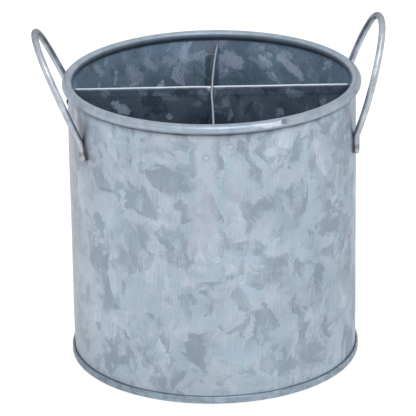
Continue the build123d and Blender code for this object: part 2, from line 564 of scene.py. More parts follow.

# Colours of dirt and heat, and of painted shade
brown_stain = paint(106, 100, 98)
heat_tint = paint(150, 140, 158)
scorch_and_shade = paint(74, 66, 74)
near_black = paint(34, 29, 25)
inner_shade_blue = paint(54, 74, 98)

# How strongly the metal mirrors the white room where it is seen edge on
edge_tint = 0.75
wire_edge_tint = 0.25

# Depth of the relief in each metal
wall_relief = 0.012
sheet_relief = 0.02
wire_relief = 0.02
rim_relief = 0.03
band_relief = 0.05
weld_relief = 0.06

# Sizes of the zinc's patterns, and how far they stir the crystals
sweep_size = 26
sweep_reach = 10.0
fray_size = 3.0
fray_reach = 1.6
fleck_size = 1.0
fleck_reach = 0.45
drift_size = 22
patch_size = 19
haze_size = 45
tint_size = 11
pit_size = 0.8
speck_size = 0.55
facet_size = 1.7
facet_stir = (2.5, 0.8)

# Sizes of the patterns in the other metals, and how far the wire's lines are drawn out along it
metal_speck_size = 0.6
wire_speck_size = 0.7
wire_line_width = 0.5
wire_line_scale = 0.05
rim_blotch_size = 5
band_blotch_size = 4
wire_blotch_size = 6
weld_blotch_size = 1.2
core_blotch_size = 5
shade_patch_size = 7

# Lines in the metals: how many to a millimetre along the sheet and up it. The rim's second is to a radian.
streak_scale = (1.6, 0.06)
brush_scale = (2.4, 0.15)
reflection_streak_scale = (0.9, 0.05)
comb_scale = (1.4, 0.3)
wear_scale = (0.2, 1.2)
rim_line_scale = (0.06, 2.4)
band_line_scale = (0.07, 1.8)
core_line_scale = (0.05, 2)

# Strands and edges of the crystals, in shares of a crystal's size or of a bright one's half width
strand_scale = (11, 1.6)
strand_variety = 40
strand_depth = 1.4
crystal_edge = (-0.3, 0.08)
glint_edge = (1.25, 0.65)

# How the edges of marks wander: the size of their waves, and how far they reach. A bright crystal's
# reach is in shares of its half width.
reflection_wander = (9, 4)
stain_wander = (6, 9)
weld_wander = (1.8, 2.2)
glint_wander = (3.0, 1.6)
tab_shade_wander = (4, 2.4)

# How far the endless crystal pattern is shifted on each side of the wall
outer_shift = (1405, 556, 0)
inner_shift = (600, 0, 0)

# Marks on the wall, real ones and painted light and shade. A pair of distances gives where a mark has faded
# out and where it is full. The stain's ends are given by an angle in degrees and a height, and the painted
# shade below the back tab by an angle in degrees.
# A painted reflection: a pale strip down the front
reflection_angle = radians(-93.3)
reflection_width = (7.0, 4.0)
reflection_length = (78, 52)
reflection_fray_length = 26
# A painted reflection: the left side of the wall made warmer
left_reflection_side = (54, 74)
# Painted shade under the rim and beside the lap's free edge
rim_shade_reach = (3.6, 0.0)
rim_crease_reach = (1.5, 0.2)
lap_shade_reach = (0.9, 0.3)
most_shade = 0.9
stain_ends = ((-156.0, 143.5), (-153.5, 131.5))
stain_reach = (5.4, 0.6)
heat_reach = (6.0, 2.5)
# The heat tint about the feet is real; the scorch close beside each foot is partly painted shade
scorch_and_shade_reach = (2.6, 1.2)
weld_ring_reach = (2.6, 1.7)
weld_ring_hole = (0.4, 1.3)
weld_dip_reach = (1.1, 0.4)
# Painted light just above the band, lifting the shade of its crease
band_lift_reach = (1.6, 0.4)
# Painted shade below the back tab
tab_shade_angle = 90.7
tab_shade_width = (2.4, 0.9)
tab_shade_top = (-1, 3)
tab_shade_length = (30, 10)

# Painted highlights, reflection and light on the dividers, with wear at the crest: from the top down, up
# from the tab's lower edge, and just before the tab's bend
shoulder_reflection_reach = (2.0, 0.8)
crest_reach = (1.0, 0.5)
tab_edge_highlight_reach = (0.7, 0.3)
tab_blend = 0.5

# Wear, a painted highlight and painted shade on the rim. Turns and widths go round its bead, starts and
# lengths along it, and worn_front is how far forward it lies. The edge of the painted shade on the bead's
# inner side and the underside's painted shade are in shares of the bead's radius.
worn_turn = radians(103)
worn_width = (0.26, 0.1)
worn_front = (25, 60)
highlight_angle = radians(-64.0)
highlight_turn = radians(24)
highlight_width = (0.6, 0.25)
highlight_start = (-0.4, 0.8)
highlight_length = (18.0, 7.0)
dark_end_start = (0.8, -0.8)
dark_end_length = (-4.0, -1.5)
inner_shade_turn = radians(182)
inner_shade_edge = (0.72, 0.92)
underside_shade = (0.1, -0.9)

# Wear on the band and on the handles' wire, the band darker to the left, and painted shade on the wire's
# side towards the wall
darker_side = (10, 55)
burnt_length = (15, 4)
burnt_ring_middle = 4.0
burnt_ring_width = (1.8, 0.6)
wall_side_shade_reach = (-0.1, 0.5)
wall_side_shade_length = (22, 14)
wall_side_shade_core = (10, 3)
gripped_length = (55, 80)

# Bright crystals, and as the last of cross_glints a painted highlight on the lip beside the slot. On the
# inside of the wall their ends are given by an angle in degrees and a height.
wall_glints = (
    Glint((83.0, 137.0), (78.5, 134.5), half_width=4.2, strength=0.8),
    Glint((68.0, 139.0), (64.0, 135.0), half_width=1.3, strength=0.9),
    Glint((59.0, 140.0), (49.5, 131.5), half_width=2.6, strength=0.8),
    Glint((64.5, 130.0), (60.0, 125.5), half_width=1.4, strength=0.6),
    Glint((57.5, 143.0), (54.5, 142.0), half_width=2.0, strength=0.4),
    Glint((100.5, 137.0), (97.5, 138.0), half_width=2.4, strength=0.5),
    Glint((96.5, 138.0), (93.0, 139.0), half_width=2.4, strength=0.6),
    Glint((108.0, 137.5), (103.5, 134.5), half_width=2.6, strength=0.4),
    Glint((117.0, 138.5), (113.5, 133.5), half_width=1.8, strength=0.4),
    Glint((125.0, 135.0), (121.0, 129.5), half_width=3.4, strength=0.4),
    Glint((132.5, 136.5), (133.0, 130.5), half_width=1.1, strength=0.6),
    Glint((125.5, 127.0), (122.5, 127.0), half_width=1.2, strength=0.6),
    Glint((145.0, 144.0), (141.0, 139.0), half_width=2.0, strength=0.4),
)
cross_glints = (
    Glint((-50.0, 137.5), (-45.5, 134.0), half_width=2.2, strength=0.95),
    Glint((-22.5, 130.0), (-21.5, 130.0), half_width=1.3, strength=0.7),
    Glint((-29.0, 143.5), (-19.5, 140.5), half_width=1.6, strength=0.25),
    Glint((-5.5, 143.0), (-3.0, 141.0), half_width=2.2, strength=0.3),
    Glint((40.0, 143.0), (45.5, 141.5), half_width=2.0, strength=0.35),
    Glint((34.5, 131.5), (37.0, 131.5), half_width=1.6, strength=0.5),
    # A painted highlight on the flared lip beside the slot
    Glint((-1.5, 146.0), (-1.0, 145.0), half_width=1.2, strength=1.0),
)
long_glints = (Glint((-30.0, 120.0), (-24.0, 112.0), half_width=2.4, strength=0.6),)


class Metal(Tree):
    """A metal's material, whose colour, roughness and relief are set as it is finished."""

    def __init__(self, name):
        self.material = bpy.data.materials.new(name)
        self.material.use_nodes = True
        super().__init__(self.material.node_tree)
        self.spot = self.scaled(self.node("ShaderNodeTexCoord").out("Object"), 1 / mm)

    def finish(self, colour, roughness, height, relief, metallic=outer_zinc.metallic, edge=edge_tint):
        """Sets what the nodes have worked out, and gives back the material."""
        bump = self.node("ShaderNodeBump", {}, {"Strength": 1.0, "Distance": relief * mm, "Height": height})
        sockets = {
            "Base Color": colour,
            "Roughness": roughness,
            "Normal": bump,
            "Metallic": metallic,
            "Specular Tint": (edge, edge, edge, 1),
        }
        self.fill(self.tree.nodes["Principled BSDF"], sockets)
        return self.material

    def ripple(self, place, size, detail=2.0):
        """A cloud about zero."""
        return self.cloud(place, size, detail) - 0.5

    def drawn(self, u, v, scale, seed, detail=3.0):
        """A cloud about zero, drawn out into lines by scaling its places one way more than the other."""
        return self.ripple(self.joined(u * scale[0], v * scale[1], seed), 1.0, detail)

    def wander(self, place, size, reach, detail=3.0):
        """How far the edge of a mark wanders at a place."""
        return self.ripple(place, size, detail) * reach

    def stirred(self, place, size, reach, detail=2.0):
        """The place moved about by a cloud, up to about the given reach."""
        push = self.vector("SUBTRACT", self.cloud(place, size, detail).out("Color"), (0.5, 0.5, 0.5))
        return self.vector("ADD", place, self.scaled(push, reach * 2))

    def shifted(self, place, shift):
        """The place moved by a set shift."""
        return self.vector("ADD", place, shift)

    def unrolled(self):
        """Places on the unrolled wall: round from opposite the seam, and up."""
        x, y, z = self.split(self.spot)
        seam_way = x * cos(seam_angle) + y * sin(seam_angle)
        round_way = y * cos(seam_angle) - x * sin(seam_angle)
        turn = self.maths("ARCTAN2", 0 - round_way, 0 - seam_way)
        return self.joined(turn * (wall_radius / mm), z, 0)

    def flat_place(self, across, up):
        """Places on a flat sheet, along two of the three axes, which are numbered from 0."""
        axes = self.split(self.spot)
        return self.joined(axes[across], axes[up], 0)

    def kept(self, name, output):
        """A value that a geometry tree kept at each point."""
        return self.node("ShaderNodeAttribute", {"attribute_name": name}).out(output)

    def from_line(self, place, start, end):
        """How far a place is from a straight line between two points."""
        run = Vector(end) - Vector(start)
        from_start = self.vector("SUBTRACT", place, start)
        share = self.dot(from_start, run / run.length_squared)
        share = self.maths("MINIMUM", self.maths("MAXIMUM", share, 0), 1)
        nearest = self.scaled(self.joined(*run), share)
        return self.length(self.vector("SUBTRACT", from_start, nearest))

    def cells(self, place, size, distance="EUCLIDEAN"):
        """Flat cells of about the given size, each with a colour and a middle of its own."""
        settings = {"voronoi_dimensions": "2D", "distance": distance}
        return self.node("ShaderNodeTexVoronoi", settings, {"Vector": place, "Scale": 1 / size})

    def crystals(self, place, layer, shift):
        """A tone from 0 to 1 for each zinc crystal, and how far it covers what lies under it.

        A crystal is whole along one side and frays into strands towards the other.
        Only a share of them shows.
        """
        laid_sockets = {
            "Vector": place,
            "Location": (shift, shift, 0),
            "Rotation": (0, 0, radians(layer.lean)),
            "Scale": (1 / layer.size, 1 / (layer.size * layer.stretch), 1),
        }
        laid = self.node("ShaderNodeMapping", {}, laid_sockets)
        cells = self.cells(laid, 1)
        tone, heading, pick = self.split(cells.out("Color"))
        cosine = self.maths("COSINE", heading * 2 * pi)
        sine = self.maths("SINE", heading * 2 * pi)
        from_middle = self.vector("SUBTRACT", laid, cells.out("Position"))
        across = self.dot(from_middle, self.joined(cosine, sine, 0))
        along = self.dot(from_middle, self.joined(0 - sine, cosine, 0))
        strands = self.drawn(along, across, strand_scale, tone * strand_variety)
        cover = self.rise(across + strands * strand_depth, *crystal_edge) * (pick < layer.share)
        return tone + strands * 0.5, cover


class Coat(NamedTuple):
    """What a zinc surface gives to its material."""

    colour: Socket
    roughness: Socket
    height: Socket


def zinc_coat(metal, place, zinc, seed):
    """Hot dipped zinc: crystals of several sizes lying over each other, with faint rolling streaks."""
    swept = metal.stirred(place, sweep_size, sweep_reach)
    frayed = metal.stirred(swept, fray_size, fray_reach, detail=5.0)
    loose = metal.stirred(frayed, fleck_size, fleck_reach, detail=3.0)
    tone = 0.62 + metal.ripple(metal.shifted(place, (seed, 3, 7)), drift_size, detail=3.0) * 0.9
    for layer in crystal_layers:
        crystal, cover = metal.crystals(loose, layer, seed + layer.size)
        tone = tone + (crystal - tone) * cover * layer.strength
    tone = tone + metal.ripple(metal.shifted(loose, (5, seed, 2)), patch_size)

    tint = metal.cloud(metal.shifted(place, (seed, 9, 5)), tint_size, detail=3.0)
    ground = metal.mixed(metal.rise(tint, 0.35, 0.65), zinc.cool, zinc.warm)
    colour = metal.mixed(metal.rise(tone, 0.12, 0.72), zinc.dark, ground)
    colour = metal.mixed(metal.rise(tone, 0.75, 1.1), colour, zinc.pale)
    frosting, cover = metal.crystals(loose, zinc.frost, seed + 50)
    frosted = cover * metal.rise(frosting, 0.0, 0.9) * zinc.frost.strength
    colour = metal.mixed(frosted, colour, zinc.pale)

    u, v, _ = metal.split(place)
    streak = metal.drawn(u, v, streak_scale, seed, detail=2.0)
    brushed = metal.drawn(u, v, brush_scale, seed, detail=2.0) * metal.rise(tint, 0.45, 0.65)
    haze = metal.ripple(place, haze_size)
    speck = metal.ripple(place, speck_size)
    colour = metal.scaled(colour, 1 + streak * 0.3 + brushed * 0.5 + haze * 0.4 + speck * zinc.grain)
    roughness = zinc.roughness - tone * 0.06 + streak * 0.1 + speck * 0.08
    height = tone * 0.5 + metal.cloud(place, pit_size, detail=3.0) * 0.6
    return Coat(colour, roughness, height)


def painted_reflection_strip(metal, place):
    """A pale strip painted down the front below the tab's welds, with streaked ends: a painted reflection.
    """
    middle, top, _ = unrolled_place(on_wall(reflection_angle, rim_underside))
    u, v, _ = metal.split(place)
    fray = metal.drawn(u, v, reflection_streak_scale, seed=3)
    beside = abs(u - middle + metal.wander(place, *reflection_wander))
    below = top - v + fray * reflection_fray_length
    return metal.rise(beside, *reflection_width) * metal.rise(below, *reflection_length) * (0.75 + fray)


def painted_crease_shade(metal):
    """Painted shade, patchy, in the creases under the rim and beside the lap's free edge."""
    height = metal.split(metal.spot)[2]
    patchy = 0.8 + metal.ripple(metal.spot, shade_patch_size, detail=3.0) * 0.9
    below_rim = rim_underside / mm - height
    under_rim_shade = metal.rise(below_rim, *rim_shade_reach) * 0.5
    crease_shade = metal.rise(below_rim, *rim_crease_reach) * 0.5
    lap_edge = unrolled_place(on_wall(seam_angle - lap_half_angle, 0))[0]
    from_lap = abs(metal.split(metal.unrolled())[0] - lap_edge)
    beside_lap_shade = metal.rise(from_lap, *lap_shade_reach) * 0.5
    return metal.maths("MINIMUM", (under_rim_shade + crease_shade + beside_lap_shade) * patchy, most_shade)


def unrolled_end(end):
    """A place on the unrolled wall, from its angle in degrees and its height."""
    angle, height = end
    return unrolled_place(on_wall(radians(angle), height * mm))


def outside_metal():
    """The outside of the wall: stained, with heat marks about the welds, and painted light and shade."""
    metal = Metal("outside_zinc")
    place = metal.unrolled()
    coat = zinc_coat(metal, metal.shifted(place, outer_shift), outer_zinc, seed=1.0)
    # A painted reflection: a pale strip down the front
    colour = metal.mixed(painted_reflection_strip(metal, place) * 0.6, coat.colour, reflection_pale)
    # A painted reflection: the left side of the wall made warmer where it turns away
    leftwards = 0 - metal.split(metal.spot)[0]
    colour = metal.mixed(metal.rise(leftwards, *left_reflection_side) * 0.35, colour, left_reflection_tone)
    stain_line = [unrolled_end(end) for end in stain_ends]
    from_stain = metal.from_line(place, *stain_line) + metal.wander(place, *stain_wander, detail=4.0)
    colour = metal.mixed(metal.rise(from_stain, *stain_reach) * 0.55, colour, brown_stain)
    ragged = metal.wander(place, *weld_wander)
    for top, tip in feet(left_loop) + feet(right_loop):
        from_foot = metal.from_line(place, unrolled_place(top), unrolled_place(tip)) + ragged
        colour = metal.mixed(metal.rise(from_foot, *heat_reach) * 0.2, colour, heat_tint)
        # Real scorch beside each foot, which is also painted shade in the crease along the wire
        colour = metal.mixed(metal.rise(from_foot, *scorch_and_shade_reach) * 0.3, colour, scorch_and_shade)
    for weld in tab_welds():
        from_weld = metal.length(metal.vector("SUBTRACT", place, unrolled_place(weld))) + ragged * 0.3
        ring = metal.rise(from_weld, *weld_ring_reach) * metal.rise(from_weld, *weld_ring_hole)
        colour = metal.mixed(ring * 0.12, colour, scorch_and_shade)
        colour = metal.mixed(metal.rise(from_weld, *weld_dip_reach) * 0.18, colour, wear_and_highlight_white)
    # Painted light on the wall just above the band, lifting the shade in its crease
    above_band = metal.split(place)[1] - band_height / mm
    colour = metal.mixed(metal.rise(above_band, *band_lift_reach) * 0.4, colour, wear_and_highlight_white)
    # Painted shade under the rim and beside the lap's free edge
    colour = metal.scaled(colour, 1 - painted_crease_shade(metal))
    return metal.finish(colour, coat.roughness, coat.height, wall_relief)


def glinting(metal, place, colour, glints):
    """The colour with bright crystals laid over it, each stepped by small facets and frayed at its rim."""
    u, v, _ = metal.split(place)
    combed = metal.drawn(u, v, comb_scale, seed=8)
    facets = metal.cells(metal.stirred(place, *facet_stir), facet_size, "MANHATTAN").out("Position")
    stepped = metal.vector("ADD", metal.scaled(place, 0.3), metal.scaled(facets, 0.7))
    ragged = metal.wander(place, *glint_wander, detail=4.0) + combed * 0.8
    for glint in glints:
        from_glint = metal.from_line(stepped, (*glint.start, 0), (*glint.end, 0))
        cover = metal.rise(from_glint * (1 / glint.half_width) + ragged, *glint_edge)
        colour = metal.mixed(cover * (0.95 + combed * 1.6) * glint.strength, colour, crystal_and_highlight_lilac)
    return colour


def unrolled_glint(glint):
    """A bright crystal of the wall's inside, with its ends on the unrolled wall."""
    return glint._replace(start=unrolled_end(glint.start)[:2], end=unrolled_end(glint.end)[:2])


def inside_metal():
    """The inside of the wall, with bright crystals and a painted shade below the back tab."""
    metal = Metal("inside_zinc")
    place = metal.unrolled()
    coat = zinc_coat(metal, metal.shifted(place, inner_shift), inner_zinc, seed=23.0)
    colour = glinting(metal, place, coat.colour, [unrolled_glint(glint) for glint in wall_glints])
    middle, top, _ = unrolled_end((tab_shade_angle, tab_bottom / mm))
    u, v, _ = metal.split(place)
    beside = abs(u - middle + metal.wander(place, *tab_shade_wander))
    below = top - v
    # Painted shade below the back tab, beside the long divider's end
    tab_shade = metal.rise(beside, *tab_shade_width) * metal.rise(below, *tab_shade_length)
    colour = metal.scaled(colour, 1 - tab_shade * metal.rise(below, *tab_shade_top) * 0.45)
    return metal.finish(colour, coat.roughness, coat.height, sheet_relief, inner_zinc.metallic)


def divider_metal(name, along_axis, seed, crest_wear_and_highlight, glints):
    """A divider's zinc, its fold worn bright, with painted highlights, reflection and light."""
    metal = Metal(name)
    place = metal.flat_place(along_axis, 2)
    coat = zinc_coat(metal, place, divider_zinc, seed)
    bright = glinting(metal, place, coat.colour, glints)
    u, v, _ = metal.split(place)
    wear = metal.drawn(u, v, wear_scale, seed)
    below_top = divider_top / mm - v
    # Painted light: the tabs are made paler and less metallic so that they look lit like the wall
    tab = metal.rise(abs(u), tab_bend_start / mm - tab_blend, tab_bend_start / mm)
    colour = metal.mixed(tab * 0.5, bright, divider_zinc.pale)
    # A painted highlight along the tab's lower edge
    tab_edge_highlight = tab * metal.rise(v - tab_bottom / mm, *tab_edge_highlight_reach)
    colour = metal.mixed(tab_edge_highlight * 0.6, colour, wear_and_highlight_white)
    # A painted bluish reflection on the hem's rounded shoulder below its crest
    shoulder_reflection = metal.rise(below_top + wear * 1.4, *shoulder_reflection_reach)
    colour = metal.mixed(shoulder_reflection * 0.4, colour, shoulder_reflection_blue)
    # Worn bright along the crest of the fold, with a painted highlight there as well
    crest = metal.rise(below_top + wear * 0.9, *crest_reach) * (0.9 + wear * 0.6)
    colour = metal.mixed(crest, colour, crest_wear_and_highlight)
    roughness = coat.roughness - crest * 0.1
    metallic = divider_zinc.metallic - crest * 0.4 - tab * 0.35
    return metal.finish(colour, roughness, coat.height, sheet_relief, metallic)


def base_metal():
    """The base's disc: plain zinc, as inside the wall."""
    metal = Metal("base_zinc")
    coat = zinc_coat(metal, metal.flat_place(0, 1), inner_zinc, seed=71.0)
    return metal.finish(coat.colour, coat.roughness, coat.height, sheet_relief, inner_zinc.metallic)


def rim_metal():
    """The rim's bead, rolled smooth: fine lines along it, a painted highlight and painted shade."""
    metal = Metal("rolled_rim")
    x, y, z = metal.split(metal.spot)
    out = (metal.length(metal.joined(x, y, 0)) - rim_middle_radius / mm) * (mm / bead_radius)
    up = (z - rim_middle_height / mm) * (mm / bead_radius)
    turn = metal.maths("ARCTAN2", up, out)
    u, _, _ = metal.split(metal.unrolled())
    lines = metal.drawn(u, turn, rim_line_scale, seed=0)
    blotch = metal.ripple(metal.spot, rim_blotch_size, detail=3.0)
    speck = metal.ripple(metal.spot, metal_speck_size)
    ground = metal.mixed(metal.rise(blotch, -0.2, 0.2), rim_dull, rim_light)
    colour = metal.scaled(ground, 1 + lines * 0.3 + blotch * 0.2 + speck * 0.4)

    crest = metal.rise(abs(turn - worn_turn + lines * 0.2), *worn_width)
    colour = metal.mixed(crest * metal.rise(0 - y, *worn_front) * 0.6, colour, worn_tan)
    # A painted highlight on one stretch of the bead's front
    from_end = unrolled_place(on_wall(highlight_angle, rim_middle_height))[0] - u + lines * 4
    on_face = metal.rise(abs(turn - highlight_turn + blotch * 1.6), *highlight_width)
    rim_highlight = metal.rise(from_end, *highlight_start) * metal.rise(from_end + blotch * 8, *highlight_length) * on_face
    colour = metal.mixed(rim_highlight * 0.75, colour, highlight_lilac)
    # The painted highlight ends in a painted dark mark
    highlight_dark_end = metal.rise(from_end, *dark_end_start) * metal.rise(from_end, *dark_end_length) * on_face
    colour = metal.mixed(highlight_dark_end * 0.5, colour, scorch_and_shade)

    # Painted shade on the bead's inner side, which faces the dark inside of the body, and on its underside
    inwards = out * cos(inner_shade_turn) + up * sin(inner_shade_turn)
    inner_side_shade = metal.rise(inwards + lines * 0.15, *inner_shade_edge)
    underside = metal.rise(up + lines * 0.2, *underside_shade)
    colour = metal.mixed(inner_side_shade * 0.6, metal.scaled(colour, 1 - underside * 0.35), inner_shade_blue)
    roughness = 0.40 + blotch * 0.14 + lines * 0.1 + inner_side_shade * 0.2
    return metal.finish(colour, roughness, lines, rim_relief)


def band_metal():
    """The folded seam at the foot, with drawn lines along it, darker towards the left."""
    metal = Metal("seam_band")
    x, _, z = metal.split(metal.spot)
    u, _, _ = metal.split(metal.unrolled())
    lines = metal.drawn(u, z, band_line_scale, seed=3, detail=4.0)
    blotch = metal.ripple(metal.spot, band_blotch_size, detail=3.0)
    speck = metal.ripple(metal.spot, metal_speck_size)
    ground = metal.mixed(metal.rise(blotch, -0.2, 0.2), band_dull, band_light)
    darker_left = metal.rise(0 - x, *darker_side)
    colour = metal.scaled(ground, (1 + lines * 1.1 + blotch * 0.4 + speck * 0.5) * (1 - darker_left * 0.22))
    roughness = 0.42 + blotch * 0.12 + lines * 0.1
    return metal.finish(colour, roughness, lines, band_relief)


def wire_metal():
    """The handles' drawn wire: lines along it, painted shade on its wall side, feet burnt by welding."""
    metal = Metal("bright_wire")
    along = metal.kept("along", "Fac") * (1 / mm)
    from_tip = metal.kept("from_tip", "Fac") * (1 / mm)
    across, up, _ = metal.split(metal.scaled(metal.kept("ring", "Vector"), 1 / mm))
    line_place = metal.joined(across, up, along * wire_line_scale)
    lines = metal.ripple(line_place, wire_line_width, detail=3.0)
    blotch = metal.ripple(metal.spot, wire_blotch_size, detail=3.0)
    speck = metal.ripple(metal.spot, wire_speck_size)
    ground = metal.mixed(metal.rise(lines + blotch, -0.25, 0.25), wire_dull, wire_light)
    colour = metal.scaled(ground, 1 + speck * 0.4)

    burnt = metal.rise(from_tip + blotch * 14 + lines * 6, *burnt_length)
    colour = metal.mixed(burnt * 0.2, colour, heat_tint)
    from_ring = abs(from_tip - burnt_ring_middle + blotch * 3 + lines * 2)
    colour = metal.mixed(metal.rise(from_ring, *burnt_ring_width) * 0.5, colour, scorch_and_shade)
    x, y, _ = metal.split(metal.spot)
    outwards = metal.vector("NORMALIZE", metal.joined(x, y, 0))
    to_wall = 0 - metal.dot(outwards, metal.node("ShaderNodeNewGeometry").out("Normal"))
    # Painted shade on the wire's side towards the wall, near the feet
    low_down = metal.rise(from_tip + blotch * 8, *wall_side_shade_length)
    wall_side_shade = metal.rise(to_wall + lines * 0.5, *wall_side_shade_reach) * low_down
    colour = metal.mixed(wall_side_shade * (0.5 + metal.rise(from_tip, *wall_side_shade_core) * 0.35), colour, scorch_and_shade)
    gripped = metal.rise(from_tip + blotch * 20, *gripped_length)
    colour = metal.mixed(gripped * 0.15, colour, gripped_grey)
    roughness = 0.36 + blotch * 0.12 + lines * 0.1 + wall_side_shade * 0.2
    return metal.finish(colour, roughness, lines, wire_relief, edge=wire_edge_tint)


def weld_metal(name, dark, light):
    """Dark lumpy metal: weld squeezed out and burnt, or the drop under the rim."""
    metal = Metal(name)
    blotch = metal.ripple(metal.spot, weld_blotch_size, detail=3.0)
    colour = metal.mixed(metal.rise(blotch, -0.25, 0.25), dark, light)
    return metal.finish(colour, 0.5 + blotch * 0.3, blotch, weld_relief)


def core_metal():
    """The plain steel wire inside the rim."""
    metal = Metal("core_wire")
    u, v, _ = metal.split(metal.unrolled())
    lines = metal.drawn(u, v, core_line_scale, seed=0)
    blotch = metal.ripple(metal.spot, core_blotch_size, detail=3.0)
    colour = metal.mixed(metal.rise(lines + blotch, -0.3, 0.3), steel_dark, steel_light)
    return metal.finish(colour, 0.45 + blotch * 0.2, lines, wire_relief)


outside_zinc = outside_metal()
inside_zinc = inside_metal()
cross_zinc = divider_metal("cross_zinc", 0, 41.0, wear_and_highlight_white, cross_glints)
long_zinc = divider_metal("long_zinc", 1, 57.0, wear_and_highlight_grey, long_glints)
base_zinc = base_metal()
rolled_rim = rim_metal()
seam_band = band_metal()
bright_wire = wire_metal()
burnt_weld = weld_metal("burnt_weld", scorch_and_shade, weld_grey)
black_drop = weld_metal("black_drop", near_black, scorch_and_shade)
core_wire = core_metal()


# Geometry trees


def new_tree(name, inputs):
    """A geometry tree with named inputs, and its input node."""
    group = bpy.data.node_groups.new(name, "GeometryNodeTree")
    group.interface.new_socket("Geometry", in_out="INPUT", socket_type="NodeSocketGeometry")
    group.interface.new_socket("Geometry", in_out="OUTPUT", socket_type="NodeSocketGeometry")
    for label, kind in inputs.items():
        group.interface.new_socket(label, in_out="INPUT", socket_type=f"NodeSocket{kind}")
    tree = Tree(group)
    return tree, tree.node("NodeGroupInput")


def dressed(tree, geometry, material, where=True):
    """Gives the geometry a material, everywhere or only where asked."""
    sockets = {"Geometry": geometry, "Selection": where, "Material": material}
    return tree.node("GeometryNodeSetMaterial", {}, sockets)


def real(tree, geometry):
    """Turns copies into geometry of their own."""
    return tree.node("GeometryNodeRealizeInstances", {}, {"Geometry": geometry})


def ended(tree, geometry):
    """Gives the geometry out of the tree, and the tree back."""
    tree.node("NodeGroupOutput", {}, {"Geometry": geometry})
    return tree.tree


def noted(tree, geometry, name, value, kind="FLOAT"):
    """Keeps a value at each point of the geometry, for its material to read."""
    sockets = {"Geometry": geometry, "Name": name, "Value": value}
    return tree.node("GeometryNodeStoreNamedAttribute", {"data_type": kind}, sockets)


def turning_tree():
    """Turns a section about the upright axis. The section is drawn from the turning radius outwards."""
    inputs = {
        "Turning radius": "Float",
        "Steps": "Int",
        "Join distance": "Float",
        "Inner radius": "Float",
        "Upper height": "Float",
        "Outer face": "Material",
        "Inner face": "Material",
        "Upper face": "Material",
    }
    tree, given = new_tree("turned_sheet", inputs)
    hoop_sockets = {"Radius": given.out("Turning radius"), "Resolution": given.out("Steps")}
    hoop = tree.node("GeometryNodeCurvePrimitiveCircle", {}, hoop_sockets)
    upright = tree.node("GeometryNodeSetCurveNormal", {"mode": "Z_UP"}, {"Curve": hoop})
    swept = tree.node("GeometryNodeCurveToMesh", {}, {"Curve": upright, "Profile Curve": given})
    join_sockets = {"Geometry": swept, "Distance": given.out("Join distance")}
    closed = tree.node("GeometryNodeMergeByDistance", {}, join_sockets)
    x, y, z = tree.split(tree.node("GeometryNodeInputPosition"))
    reach = tree.length(tree.joined(x, y, 0))
    made = dressed(tree, real(tree, closed), given.out("Outer face"))
    made = dressed(tree, made, given.out("Inner face"), reach < given.out("Inner radius"))
    return ended(tree, dressed(tree, made, given.out("Upper face"), z > given.out("Upper height")))


def wire_tree():
    """Draws a round wire along a path, rounds its tips and flattens it where it lies on the wall."""
    inputs = {
        "Wire radius": "Float",
        "Tip round": "Float",
        "Sides": "Int",
        "Wall radius": "Float",
        "Material": "Material",
    }
    tree, given = new_tree("bent_wire", inputs)
    along = tree.node("GeometryNodeSplineParameter").out("Length")
    whole = tree.node("GeometryNodeSplineLength")
    from_tip = tree.maths("MINIMUM", along, whole - along)
    short = tree.maths("MAXIMUM", 1 - from_tip / given.out("Tip round"), 0)
    drawn_in = given.out("Tip round") * (1 - tree.maths("SQRT", 1 - short * short))
    path = noted(tree, noted(tree, given, "along", along), "from_tip", from_tip)
    ring_sockets = {"Radius": given.out("Wire radius"), "Resolution": given.out("Sides")}
    ring = tree.node("GeometryNodeCurvePrimitiveCircle", {}, ring_sockets)
    place = tree.node("GeometryNodeInputPosition")
    sweep_sockets = {
        "Curve": path,
        "Profile Curve": noted(tree, ring, "ring", place, "FLOAT_VECTOR"),
        "Scale": 1 - drawn_in / given.out("Wire radius"),
        "Fill Caps": True,
    }
    wire = tree.node("GeometryNodeCurveToMesh", {}, sweep_sockets)
    x, y, z = tree.split(place)
    push = tree.maths("MAXIMUM", given.out("Wall radius") / tree.length(tree.joined(x, y, 0)), 1)
    seat = tree.joined(x * push, y * push, z)
    fitted = tree.node("GeometryNodeSetPosition", {}, {"Geometry": wire, "Position": seat})
    return ended(tree, dressed(tree, real(tree, fitted), given.out("Material")))


def weld_bead_tree():
    """A lumpy bead of weld along each path, thin at both ends."""
    inputs = {
        "Bead radius": "Float",
        "Points": "Int",
        "Sides": "Int",
        "Lump size": "Float",
        "Lumpiness": "Float",
        "End share": "Float",
        "Material": "Material",
    }
    tree, given = new_tree("weld_bead", inputs)
    path = tree.node("GeometryNodeResampleCurve", {}, {"Curve": given, "Count": given.out("Points")})
    share = tree.node("GeometryNodeSplineParameter")
    lump_place = tree.scaled(tree.node("GeometryNodeInputPosition"), 1 / given.out("Lump size"))
    lump = 1 + (tree.cloud(lump_place, 1.0) - 0.5) * given.out("Lumpiness")
    body = tree.maths("SQRT", tree.maths("SINE", share * pi))
    ring_sockets = {"Radius": given.out("Bead radius"), "Resolution": given.out("Sides")}
    sweep_sockets = {
        "Curve": path,
        "Profile Curve": tree.node("GeometryNodeCurvePrimitiveCircle", {}, ring_sockets),
        "Scale": lump * tree.maths("MAXIMUM", body, given.out("End share")),
        "Fill Caps": True,
    }
    bead = tree.node("GeometryNodeCurveToMesh", {}, sweep_sockets)
    return ended(tree, dressed(tree, real(tree, bead), given.out("Material")))


